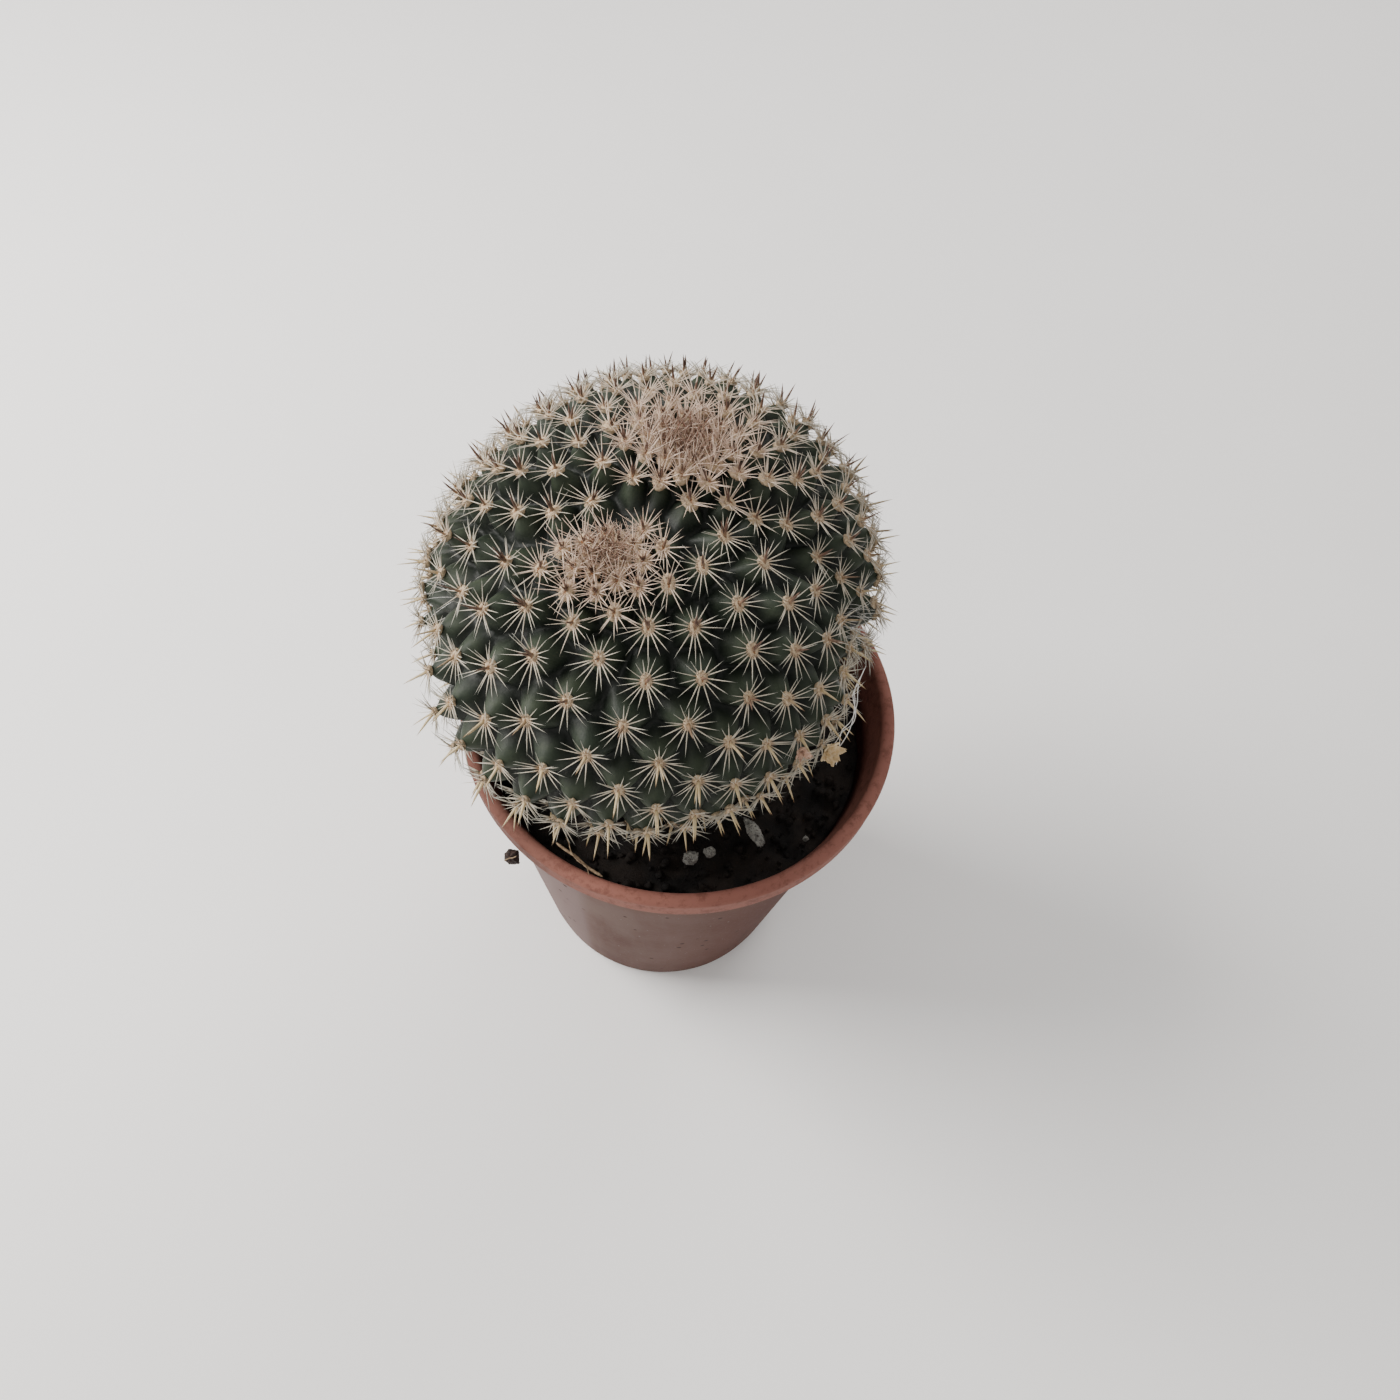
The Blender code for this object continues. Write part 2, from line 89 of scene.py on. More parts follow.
class Wire:
    """A value or colour on its way through a material; arithmetic on it adds the Math nodes."""

    def __init__(self, tree, socket):
        self.tree = tree
        self.socket = socket

    def node(self, kind, settings=None, sockets=None, out=0):
        """Adds any node: its settings first, then the values or wires of its sockets."""
        made = self.tree.nodes.new(kind)
        for name, value in (settings or {}).items():
            setattr(made, name, value)
        for name, value in (sockets or {}).items():
            if isinstance(value, Wire):
                self.tree.links.new(value.socket, made.inputs[name])
            else:
                made.inputs[name].default_value = value
        return Wire(self.tree, made.outputs[out])

    def math(self, operation, *others):
        values = {i: other for i, other in enumerate((self, *others))}
        return self.node("ShaderNodeMath", {"operation": operation}, values)

    def __add__(self, other):
        return self.math("ADD", other)

    __radd__ = __add__

    def __mul__(self, other):
        return self.math("MULTIPLY", other)

    __rmul__ = __mul__

    def __sub__(self, other):
        return self.math("SUBTRACT", other)

    def __rsub__(self, other):
        return self * -1.0 + other

    def step(self, low, high):
        """0 below low, 1 above high, smooth between; low may be the larger."""
        turned = low > high
        low, high = sorted((low, high))
        ends = {"Value": self, "From Min": low, "From Max": high}
        mask = self.node("ShaderNodeMapRange", {"interpolation_type": "SMOOTHSTEP"}, ends)
        return 1.0 - mask if turned else mask

    def blend(self, first, second):
        """This wire as a mask between two colours."""
        colours = {0: self, 6: rgba(first), 7: rgba(second)}
        return self.node("ShaderNodeMix", {"data_type": "RGBA"}, colours, out=2)

    def stretched(self, x, y, z):
        return self.node("ShaderNodeVectorMath", {"operation": "MULTIPLY"}, {0: self, 1: (x, y, z)})

    def noise(self, per_metre, detail=3.0, rough=0.5):
        values = {"Vector": self, "Scale": per_metre, "Detail": detail, "Roughness": rough}
        return self.node("ShaderNodeTexNoise", {}, values)

    def cells(self, per_metre):
        return self.node("ShaderNodeTexVoronoi", {}, {"Vector": self, "Scale": per_metre})

    def along(self, axis):
        """One coordinate of a place: X, Y or Z."""
        return self.node("ShaderNodeSeparateXYZ", {}, {0: self}, out=axis)

    def bump(self, distance, strength=1.0, under=None):
        values = {"Height": self, "Distance": distance, "Strength": strength}
        if under:
            values["Normal"] = under
        return self.node("ShaderNodeBump", {}, values)


def rgba(colour):
    return colour if isinstance(colour, Wire) else (*colour, 1.0)


def finish(name, roughness, **constants):
    """A new material: its Principled shader, and the wire of the object's own coordinates."""
    made = bpy.data.materials.new(name)
    made.use_nodes = True
    shader = made.node_tree.nodes["Principled BSDF"]
    shader.inputs["Roughness"].default_value = roughness
    for socket, value in constants.items():
        shader.inputs[socket.replace("_", " ")].default_value = value
    place = Wire(made.node_tree, None).node("ShaderNodeTexCoord", out="Object")
    return made, shader, place


def feed(shader, **wires):
    for socket, wire in wires.items():
        wire.tree.links.new(wire.socket, shader.inputs[socket.replace("_", " ")])


def marked(place, name):
    """The wire of a value that the mesh carries at each corner."""
    return place.node("ShaderNodeAttribute", {"attribute_name": name}, out="Fac")


def shown(name, mesh, material, smooth=True):
    """A new piece of the plant or its pot, linked into the scene with its material."""
    made = bpy.data.objects.new(name, mesh)
    bpy.context.scene.collection.objects.link(made)
    mesh.materials.append(material)
    if smooth:
        mesh.shade_smooth()
    return made


def build_studio():
    camera = bpy.data.objects.new("camera", bpy.data.cameras.new("camera"))
    camera.data.lens = CAMERA_LENS
    camera.data.clip_start = 0.01
    back = Vector((0.0, -math.cos(CAMERA_RISE), math.sin(CAMERA_RISE)))
    camera.location = Vector((0.0, 0.0, LIP_TOP)) + back * CAMERA_AWAY
    camera.rotation_euler = [math.radians(a) for a in CAMERA_TURN]
    bpy.context.scene.collection.objects.link(camera)
    bpy.context.scene.camera = camera
    for name, place, size, power, tint in LAMPS:
        lamp = bpy.data.lights.new(name, "AREA")
        lamp.size = size
        lamp.energy = power
        lamp.color = tint
        light = bpy.data.objects.new(name, lamp)
        light.location = place
        aim = PLANT_MIDDLE - light.location
        light.rotation_euler = aim.to_track_quat("-Z", "Y").to_euler()
        bpy.context.scene.collection.objects.link(light)
    world = bpy.data.worlds.new("room")
    world.use_nodes = True
    sky = world.node_tree.nodes["Background"]
    sky.inputs["Color"].default_value = (1.0, 0.98, 0.96, 1.0)
    sky.inputs["Strength"].default_value = ROOM_LIGHT
    bpy.context.scene.world = world
    table = bpy.data.meshes.new("table")
    corners = [(x * TABLE_HALF, y * TABLE_HALF, 0.0) for x, y in ((-1, -1), (1, -1), (1, 1), (-1, 1))]
    table.from_pydata(corners, [], [(0, 1, 2, 3)])
    pale, shader, place = finish("pale_table", 0.9)
    feed(shader, Base_Color=place.noise(14.0).blend((0.90, 0.895, 0.885), (0.94, 0.935, 0.93)))
    shown("table", table, pale)


build_studio()


# ---------------------------------------------------------------- pot
# A thin moulded plastic nursery pot: a rolled lip over a plain band, a tapered wall and a flat
# floor with drain holes. The plastic has faded, and hard water has left it chalky outside. Light is
# painted on it as well: the chalk is weighted to the lit left, a window's reflection is painted
# there, the right side is painted darker as shade, and the inside is painted dark as shade.

LIP_WIDTH = 0.0034
LIP_BAND = 0.0068
NECK_RADIUS = 0.0486
BASE_RADIUS = 0.0368
WALL = 0.0013
FLOOR = 0.0018
DRAIN_HOLES = 6
DRAIN_RADIUS = 0.004
DRAIN_CIRCLE = 0.023
POT_STEPS = 160
FOOT_ROUND = 0.0015
OUT_OF_ROUND = 0.0016
UNDER_LIP = LIP_TOP - LIP_BAND


def arc(centre, radius, start, end, count):
    angles = [math.radians(start + (end - start) * i / (count - 1)) for i in range(count)]
    return [(centre[0] + radius * math.cos(a), centre[1] + radius * math.sin(a)) for a in angles]


def wall_radius(height):
    return BASE_RADIUS + (NECK_RADIUS - BASE_RADIUS) * height / UNDER_LIP


def pot_section():
    """The section from the underside's middle out, up, over the lip and down to the floor."""
    crest = LIP_WIDTH / 2.0
    outside = [(DRAIN_CIRCLE * 1.3, 0.0)]
    outside += arc((wall_radius(0.0) - FOOT_ROUND, FOOT_ROUND), FOOT_ROUND, -90, 0, 5)
    outside += [(wall_radius(h), h) for h in np.linspace(0.006, UNDER_LIP - 0.002, 14)]
    outside += arc((NECK_RADIUS + 0.0008, UNDER_LIP - 0.0008), 0.0010, 180, 90, 4)
    outside += [(LIP_RADIUS - 0.0010, UNDER_LIP + 0.0002)]
    outside += arc((LIP_RADIUS - 0.0010, UNDER_LIP + 0.0010), 0.0008, -60, 0, 4)
    outside += [(LIP_RADIUS - 0.00035, LIP_TOP - crest - 0.0012)]
    over = arc((LIP_RADIUS - crest, LIP_TOP - crest), crest, 0, 180, 13)
    inside = [(LIP_RADIUS - LIP_WIDTH - 0.0001, LIP_TOP - 0.0026)]
    inside += [(NECK_RADIUS - WALL + 0.0004, UNDER_LIP + 0.0004)]
    inside += [(NECK_RADIUS - WALL, UNDER_LIP - 0.002)]
    inside += [(wall_radius(h) - WALL, h) for h in np.linspace(UNDER_LIP - 0.006, FLOOR + 0.002, 12)]
    inside += [(wall_radius(FLOOR) - WALL - 0.002, FLOOR), (DRAIN_CIRCLE * 1.3, FLOOR)]
    return outside + over, inside


def turned_pot():
    outside, inside = pot_section()
    section = outside + inside
    points = [(0.0, 0.0, 0.0)]
    indoors = [0.0]
    for number, (radius, height) in enumerate(section):
        for i in range(POT_STEPS):
            angle = math.tau * i / POT_STEPS
            wobble = 1.0 + OUT_OF_ROUND * math.sin(2.0 * angle + 0.7) * (height / LIP_TOP) ** 2
            here = radius * wobble
            points.append((here * math.cos(angle), here * math.sin(angle), height))
            indoors.append(float(number >= len(outside)))
    points.append((0.0, 0.0, FLOOR))
    indoors.append(1.0)
    faces = []
    for i in range(POT_STEPS):
        j = (i + 1) % POT_STEPS
        faces.append((0, 1 + j, 1 + i))
        for ring in range(len(section) - 1):
            low = 1 + ring * POT_STEPS
            faces.append((low + i, low + j, low + POT_STEPS + j, low + POT_STEPS + i))
        last = 1 + (len(section) - 1) * POT_STEPS
        faces.append((last + i, last + j, len(points) - 1))
    mesh = bpy.data.meshes.new("pot_wall")
    mesh.from_pydata(points, [], faces)
    mesh.attributes.new("inside", "FLOAT", "POINT").data.foreach_set("value", indoors)
    mesh.update()
    return mesh


def drilled(piece):
    """The pot with its drain holes cut through, as one plain mesh."""
    drill = bpy.data.meshes.new("drill")
    shell = bmesh.new()
    for i in range(DRAIN_HOLES):
        angle = math.tau * (i + 0.5) / DRAIN_HOLES
        spot = Vector((DRAIN_CIRCLE * math.cos(angle), DRAIN_CIRCLE * math.sin(angle), FLOOR / 2.0))
        bmesh.ops.create_cone(
            shell, cap_ends=True, segments=32, radius1=DRAIN_RADIUS, radius2=DRAIN_RADIUS,
            depth=4.0 * FLOOR, matrix=Matrix.Translation(spot),
        )
    shell.to_mesh(drill)
    shell.free()
    cutter = bpy.data.objects.new("drill", drill)
    bpy.context.scene.collection.objects.link(cutter)
    cut = piece.modifiers.new("drain", "BOOLEAN")
    cut.solver = "MANIFOLD"
    cut.object = cutter
    whole = piece.evaluated_get(bpy.context.evaluated_depsgraph_get())
    mesh = bpy.data.meshes.new_from_object(whole)
    piece.modifiers.remove(cut)
    bpy.data.objects.remove(cutter)
    piece.data = mesh
    mesh.shade_smooth()
    mesh.set_sharp_from_angle(angle=math.radians(40.0))


def pot_plastic():
    made, shader, place = finish("pot_plastic", 0.5, Specular_IOR_Level=0.03)
    height, side = place.along("Z"), place.along("X")
    lip = height.step(UNDER_LIP - 0.004, UNDER_LIP + 0.001)
    body = 1.0 - lip
    inside = marked(place, "inside")
    cloud = place.noise(28.0, 4.0, 0.6)
    streaks = place.stretched(1.0, 1.0, 0.18).noise(120.0, 5.0, 0.65)
    specks = place.noise(900.0, 2.0, 0.5)
    grime = place.cells(210.0)
    faded = cloud.step(0.35, 0.7).blend((0.085, 0.040, 0.031), (0.112, 0.060, 0.049))
    lip_red = cloud.step(0.3, 0.75).blend((0.275, 0.122, 0.095), (0.210, 0.086, 0.068))
    # Partly painted light: the chalk patches are real, but they are weighted heavily to the left, the
    # window side, so that side is painted lighter.
    left_chalk_and_painted_light = side.step(0.026, -0.030) * 0.90 + 0.10
    clean = height.step(UNDER_LIP - 0.020, UNDER_LIP - 0.003)
    patches = (cloud * 0.55 + streaks * 0.6).step(0.38, 0.72)
    chalk = patches * body * left_chalk_and_painted_light * (1.0 - clean * 0.6)
    # Painted shade: the wall is coloured darker and redder towards the right, away from the window.
    painted_shade_right = (side.step(-0.004, 0.030) * 0.75).blend(faded, (0.088, 0.033, 0.024))
    chalky = chalk.blend(painted_shade_right, (0.170, 0.124, 0.110))
    # Painted reflection: a pale vertical band on the left of the wall stands for a window reflected in
    # the plastic.
    window_reflection_band = (side + streaks * 0.004).step(-0.0145, -0.0185)
    painted_window_reflection = window_reflection_band * body * (1.0 - clean) * 0.50
    with_window_reflection = painted_window_reflection.blend(chalky, (0.230, 0.175, 0.172))
    ruddy = (clean * body * 0.5).blend(with_window_reflection, (0.160, 0.072, 0.055))
    spotted = (specks.step(0.70, 0.76) * body).blend(ruddy, (0.21, 0.17, 0.155))
    dirt = grime.step(0.17, 0.09) * cloud.step(0.48, 0.56)
    dotted = dirt.blend(spotted, (0.032, 0.016, 0.013))
    rubbed = place.noise(330.0, 5.0, 0.75)
    rubbed_lip = (rubbed.step(0.47, 0.66) * 0.55).blend(lip_red, (0.110, 0.044, 0.034))
    worn_lip = (side.step(-0.012, -0.036) * 0.62).blend(rubbed_lip, (0.078, 0.040, 0.031))
    outdoors = lip.blend(dotted, worn_lip)
    # Painted shade: below a band at the lip, the inside of the wall is coloured far darker than the
    # outside.
    dark = streaks.step(0.3, 0.7).blend((0.030, 0.010, 0.010), (0.048, 0.018, 0.016))
    painted_shade_inside = height.step(LIP_TOP - 0.007, LIP_TOP - 0.013).blend(worn_lip, dark)
    feed(shader, Base_Color=inside.blend(outdoors, painted_shade_inside))
    feed(shader, Roughness=chalk * 0.2 + specks * 0.12 + 0.45)
    fine = (specks * 0.5 + chalk * 0.6 + rubbed * lip * 1.5).bump(0.00014, 0.6)
    feed(shader, Normal=(streaks * 0.8 + cloud).bump(0.0003, 0.35, fine))
    return made


pot = shown("nursery_pot", turned_pot(), pot_plastic())
drilled(pot)
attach(pot, "root")
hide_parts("pot")


# ---------------------------------------------------------------- soil
# Dark peaty compost, watered down to a little under the lip: a lumpy bed with loose crumbs
# on it, and a hollow that the plant's foot fills.

SOIL_LEVEL = LIP_TOP - 0.015
STEM_MIDDLE = Vector((-0.0083, 0.0060, LIP_TOP + 0.0274))
SOCKET_MOUTH = 0.017
SOCKET_DEPTH = 0.016
CRUMBS = 900
CRUMBS_REACH = 0.0445
CRUMBS_CLEAR = 0.021
SOIL_STEPS = 200
SOIL_RINGS = 64


def soil_height(x, y):
    """The lumpy surface: it dips in a cone under the plant's foot."""
    spot = Vector((x, y, 0.0))
    lumps = noise.fractal(spot * 210.0, 0.8, 2.1, 5) * 0.0011
    swell = noise.noise(spot * 60.0) * 0.0014
    away = math.hypot(x - STEM_MIDDLE.x, y - STEM_MIDDLE.y)
    socket = max(0.0, 1.0 - away / SOCKET_MOUTH) * SOCKET_DEPTH
    rough = min(1.0, max(0.0, (away - SOCKET_MOUTH) / 0.006))
    return SOIL_LEVEL + (lumps + swell) * rough - socket - 0.0004


def soil_bed():
    edge = wall_radius(SOIL_LEVEL) - WALL - 0.0002
    points = [(STEM_MIDDLE.x, STEM_MIDDLE.y, soil_height(STEM_MIDDLE.x, STEM_MIDDLE.y))]
    for ring in range(1, SOIL_RINGS + 1):
        share = ring / SOIL_RINGS
        for i in range(SOIL_STEPS):
            angle = math.tau * i / SOIL_STEPS
            x = STEM_MIDDLE.x * (1.0 - share) + edge * share * math.cos(angle)
            y = STEM_MIDDLE.y * (1.0 - share) + edge * share * math.sin(angle)
            points.append((x, y, soil_height(x, y)))
    foot = wall_radius(FLOOR + 0.0025) - WALL - 0.0025
    for i in range(SOIL_STEPS):
        angle = math.tau * i / SOIL_STEPS
        points.append((foot * math.cos(angle), foot * math.sin(angle), FLOOR + 0.0004))
    points.append((0.0, 0.0, FLOOR + 0.0004))
    faces = []
    for i in range(SOIL_STEPS):
        j = (i + 1) % SOIL_STEPS
        faces.append((0, 1 + i, 1 + j))
        for ring in range(SOIL_RINGS):
            low = 1 + ring * SOIL_STEPS
            high = low + SOIL_STEPS
            faces.append((low + i, high + i, high + j, low + j))
        last = 1 + SOIL_RINGS * SOIL_STEPS
        faces.append((last + i, len(points) - 1, last + j))
    mesh = bpy.data.meshes.new("soil_bed")
    mesh.from_pydata(points, [], faces)
    return mesh


def lumps_mesh(name, places, sizes, seed, squash=0.75, detail=1):
    """Many rough grains in one mesh: each a pushed and stretched ball, turned at random."""
    rng = random.Random(seed)
    ball = bmesh.new()
    bmesh.ops.create_icosphere(ball, subdivisions=detail, radius=0.5)
    base = [v.co.copy() for v in ball.verts]
    sides = [[v.index for v in f.verts] for f in ball.faces]
    ball.free()
    points, faces = [], []
    for place, size in zip(places, sizes):
        turn = Euler([rng.uniform(0.0, math.tau) for _ in range(3)]).to_matrix()
        stretch = Vector((rng.uniform(0.8, 1.3), rng.uniform(0.7, 1.1), squash * rng.uniform(0.7, 1.2)))
        shift = Vector([rng.uniform(0.0, 50.0) for _ in range(3)])
        start = len(points)
        for co in base:
            rough = 1.0 + 0.55 * noise.noise(co * 3.2 + shift)
            grown = Vector((co.x * stretch.x, co.y * stretch.y, co.z * stretch.z)) * size * rough
            points.append(Vector(place) + turn @ grown)
        faces += [[start + k for k in side] for side in sides]
    mesh = bpy.data.meshes.new(name)
    mesh.from_pydata(points, [], faces)
    return mesh


def compost():
    made, shader, place = finish("compost", 0.9, Specular_IOR_Level=0.25)
    grain = place.noise(1400.0, 5.0, 0.7)
    patch = place.noise(160.0, 3.0, 0.5)
    dark = patch.step(0.35, 0.7).blend((0.0065, 0.0055, 0.0052), (0.020, 0.0145, 0.0115))
    feed(shader, Base_Color=grain.step(0.60, 0.78).blend(dark, (0.060, 0.042, 0.030)))
    feed(shader, Roughness=grain * 0.3 + 0.65)
    feed(shader, Normal=(grain + patch * 0.5).bump(0.0004, 0.9))
    return made


def add_soil():
    peat = compost()
    bed = shown("compost_bed", soil_bed(), peat)
    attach(bed, "root")
    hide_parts("soil")
    rng = random.Random(5)
    places, sizes = [], []
    while len(places) < CRUMBS:
        angle, out = rng.uniform(0.0, math.tau), CRUMBS_REACH * math.sqrt(rng.uniform(0.0, 1.0))
        x, y = out * math.cos(angle), out * math.sin(angle)
        if math.hypot(x - STEM_MIDDLE.x, y - STEM_MIDDLE.y) < CRUMBS_CLEAR:
            continue
        size = 0.0006 + 0.0026 * rng.random() ** 3
        places.append((x, y, soil_height(x, y) + 0.12 * size))
        sizes.append(size)
    crumbs = shown("compost_crumbs", lumps_mesh("crumbs", places, sizes, 6, 0.8, 2), peat)
    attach(crumbs, "root")


add_soil()


# ---------------------------------------------------------------- stem
# One green body with two growing points. Each bump is a tubercle that carries an areole at its
# tip; the frame's stem gives the place of every tip, and the skin swells up between the creases.

UNDERSIDE = ((math.radians(152.0), 12, 0.0445), (math.radians(167.0), 7, 0.0470))
ROOT_TIP = 0.0600
SKIN_CUTS = 10
TIP_STANDS_OVER = 0.0007
LOWEST_TIP = SOIL_LEVEL + 0.004
YOUNG_SPACING = 0.0042
GROWN_OVER = 0.0048
DEEPEST_CREASE = 0.0056
BATCH = 8000


def tubercle_tips():
    """The frame stem's own tips: the corners that stand out over all that they join."""
    mesh = frame["nodes"]["stem"].data
    place, joined = {}, {}
    for face in mesh.polygons:
        keys = [tuple(round(c, 6) for c in mesh.vertices[v].co) for v in face.vertices]
        for key in keys:
            place[key] = (Vector(key) - STEM_MIDDLE).length
            joined.setdefault(key, set()).update(keys)
    tips = []
    for key in sorted(place):
        beside = [place[other] for other in joined[key] if other != key]
        if key[2] > LOWEST_TIP and place[key] - max(beside) > TIP_STANDS_OVER:
            tips.append(Vector(key))
    return tips


TIPS = np.array(tubercle_tips())
APART = np.sort(np.linalg.norm(TIPS[:, None] - TIPS[None], axis=2), axis=1)[:, 1:6].mean(axis=1)
GROWN = np.clip((APART - YOUNG_SPACING) / GROWN_OVER, 0.0, 1.0)
OUT = TIPS - np.array(STEM_MIDDLE)
OUT /= np.linalg.norm(OUT, axis=1)[:, None]


def skin_net():
    """The net through the tips and the plain underside, finely divided."""
    corners = [Vector(tip) for tip in TIPS]
    for polar, count, reach in UNDERSIDE:
        for i in range(count):
            angle = math.tau * i / count
            flat = Vector((math.cos(angle), math.sin(angle), 0.0)) * math.sin(polar)
            corners.append(STEM_MIDDLE + (flat + Vector((0.0, 0.0, math.cos(polar)))) * reach)
    corners.append(STEM_MIDDLE - Vector((0.0, 0.0, ROOT_TIP)))
    shell = bmesh.new()
    for corner in corners:
        shell.verts.new((corner - STEM_MIDDLE).normalized())
    shell.verts.index_update()
    bmesh.ops.convex_hull(shell, input=shell.verts, use_existing_faces=False)
    for vert, corner in zip(shell.verts, corners):
        vert.co = corner
    bmesh.ops.subdivide_edges(shell, edges=shell.edges, cuts=SKIN_CUTS, use_grid_fill=True)
    bmesh.ops.recalc_face_normals(shell, faces=shell.faces)
    mesh = bpy.data.meshes.new("stem_skin")
    shell.to_mesh(mesh)
    shell.free()
    return mesh


def swell(mesh):
    """Sinks the skin between the tips, so that each tip is the top of a plump cone."""
    flat = np.empty(len(mesh.vertices) * 3)
    mesh.vertices.foreach_get("co", flat)
    points = flat.reshape(-1, 3)
    near = np.empty((len(points), 2))
    rise = np.empty(len(points))
    for start in range(0, len(points), BATCH):
        part = points[start:start + BATCH]
        gaps = np.linalg.norm(part[:, None] - TIPS[None], axis=2)
        order = np.argpartition(gaps, 1, axis=1)[:, :2]
        two = np.take_along_axis(gaps, order, axis=1)
        swap = two[:, 0] > two[:, 1]
        two[swap] = two[swap][:, ::-1]
        order[swap] = order[swap][:, ::-1]
        near[start:start + BATCH] = two
        heights = 0.62 * APART[order]
        total = two.sum(axis=1) + 1e-9
        rise[start:start + BATCH] = (heights[:, 0] * two[:, 1] + heights[:, 1] * two[:, 0]) / total
    share = np.clip(2.0 * near[:, 0] / (near.sum(axis=1) + 1e-9), 0.0, 1.0)
    plain = np.clip((near[:, 0] - 0.007) / 0.004, 0.0, 1.0)
    inward = np.array(STEM_MIDDLE) - points
    inward /= np.linalg.norm(inward, axis=1)[:, None]
    depth = np.minimum(rise, DEEPEST_CREASE) * share**1.9
    points += inward * (depth * (1.0 - plain))[:, None]
    mesh.vertices.foreach_set("co", points.reshape(-1))
    mesh.attributes.new("crease", "FLOAT", "POINT").data.foreach_set("value", share)
    mesh.update()


def stem_skin():
    made, shader, place = finish("stem_skin", 0.5, Specular_IOR_Level=0.28)
    crease = marked(place, "crease")
    height = place.along("Z")
    mottle = place.noise(260.0, 4.0, 0.6)
    dots = place.cells(2600.0)
    broad = place.noise(45.0, 2.0, 0.5)
    green = broad.step(0.35, 0.65).blend((0.0155, 0.0245, 0.0145), (0.0255, 0.0360, 0.0195))
    pale = mottle.step(0.42, 0.75).blend(green, (0.039, 0.052, 0.031))
    # Painted shade: the skin is coloured darker down in the creases between the tubercles.
    deep = crease.step(0.45, 0.95).blend(pale, (0.0065, 0.0095, 0.0070))
    corky = height.step(0.106, 0.090) * mottle.step(0.3, 0.6)
    feed(shader, Base_Color=corky.blend(deep, (0.045, 0.034, 0.020)))
    feed(shader, Roughness=mottle * 0.22 + 0.46)
    feed(shader, Normal=mottle.bump(0.0003, 0.35, dots.bump(0.00005, 0.5)))
    return made


skin = skin_net()
swell(skin)
stem = shown("stem_body", skin, stem_skin())
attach(stem, "root")
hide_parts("stem")


# ---------------------------------------------------------------- spines
# Every areole carries a star of thin cream side spines, held out flat over the skin, and one to
# four stout central ones. They are horn, tapered and a little bent, and the young ones browner.

SIDE_LENGTH = 0.0052
CENTRAL_LENGTH = 0.0058
SIDE_THICKNESS = 0.000145
CENTRAL_THICKNESS = 0.00040
PALE_BELOW = LIP_TOP + 0.060
PALE_OVER = 0.025
HEART_SPACING = 0.0030
HEART_OVER = 0.0012


def across(ways):
    """Two directions square to each of a list of unit directions; the second is the uphill one."""
    up = np.where(np.abs(ways[:, 2:3]) < 0.98, [[0.0, 0.0, 1.0]], [[0.0, 1.0, 0.0]])
    east = np.cross(up, ways)
    east /= np.linalg.norm(east, axis=1)[:, None]
    return east, np.cross(ways, east)


def thorns_mesh(name, thorns, sides=4, rings=4):
    """Tapered, bent needles in one mesh. Each is (root, way, length, radius, bend, age, stout)."""
    root, way, bend = (np.array([t[i] for t in thorns]) for i in (0, 1, 4))
    length, radius, age, stout = (np.array([t[i] for t in thorns]) for i in (2, 3, 5, 6))
    east, north = across(way)
    count = len(thorns)
    per = sides * rings + 1
    points = np.empty((count, per, 3))
    along = np.empty((count, per))
    for ring in range(rings):
        t = ring / rings
        middle = root + way * (length * t)[:, None] + bend * (length * t * t)[:, None]
        wide = radius * (1.0 - t) ** 0.7
        for side in range(sides):
            angle = math.tau * side / sides
            spoke = east * math.cos(angle) + north * math.sin(angle)
            points[:, ring * sides + side] = middle + spoke * wide[:, None]
        along[:, ring * sides:(ring + 1) * sides] = t
    points[:, -1] = root + way * length[:, None] + bend * length[:, None]
    along[:, -1] = 1.0
    pattern = [list(range(sides))[::-1]]
    for ring in range(rings - 1):
        for side in range(sides):
            corner, beside = ring * sides + side, ring * sides + (side + 1) % sides
            pattern.append([corner, beside, beside + sides, corner + sides])
    last = (rings - 1) * sides
    for side in range(sides):
        pattern.append([last + side, last + (side + 1) % sides, per - 1])
    faces = [[start + k for k in face] for start in range(0, count * per, per) for face in pattern]
    mesh = bpy.data.meshes.new(name)
    mesh.from_pydata(points.reshape(-1, 3), [], faces)
    marks = {"along": along.reshape(-1), "age": np.repeat(age, per), "stout": np.repeat(stout, per)}
    for mark, values in marks.items():
        mesh.attributes.new(mark, "FLOAT", "POINT").data.foreach_set("value", values)
    mesh.update()
    return mesh


def unit(vector):
    return vector / np.linalg.norm(vector)


EAST, UPHILL = across(OUT)
LOW = np.clip((PALE_BELOW - TIPS[:, 2]) / PALE_OVER, 0.0, 1.0)
INNER = np.clip((APART - HEART_SPACING) / HEART_OVER, 0.0, 1.0)


def side_spines(number, rng):
    """The star of side spines: longer below, shorter above, and raised on young areoles."""
    tip, out, grown = TIPS[number], OUT[number], GROWN[number]
    found = []
    count = rng.randint(15, 19) + int(5 * (1.0 - grown))
    start = rng.uniform(0.0, math.tau)
    for i in range(count):
        angle = start + math.tau * i / count + rng.uniform(-0.13, 0.13)
        flat = EAST[number] * math.cos(angle) + UPHILL[number] * math.sin(angle)
        lift = rng.uniform(0.16, 0.52) + rng.uniform(0.1, 0.9) * (1.0 - grown)
        way = unit(flat * math.cos(lift) + out * math.sin(lift))
        long = 1.0 - 0.16 * math.sin(angle) * grown
        length = SIDE_LENGTH * (1.08 - 0.08 * grown) * long * rng.uniform(0.78, 1.12)
        root = tip + out * rng.uniform(0.0001, 0.0006) + flat * 0.0008 * (0.4 + 0.6 * grown)
        bend = out * rng.uniform(-0.14, 0.04) + flat * rng.uniform(-0.04, 0.04)
        age = 0.30 * INNER[number] + 0.55 * grown + rng.uniform(0.0, 0.15)
        found.append((root, way, length, SIDE_THICKNESS * rng.uniform(0.85, 1.2), bend, age, 0.0))
    return found


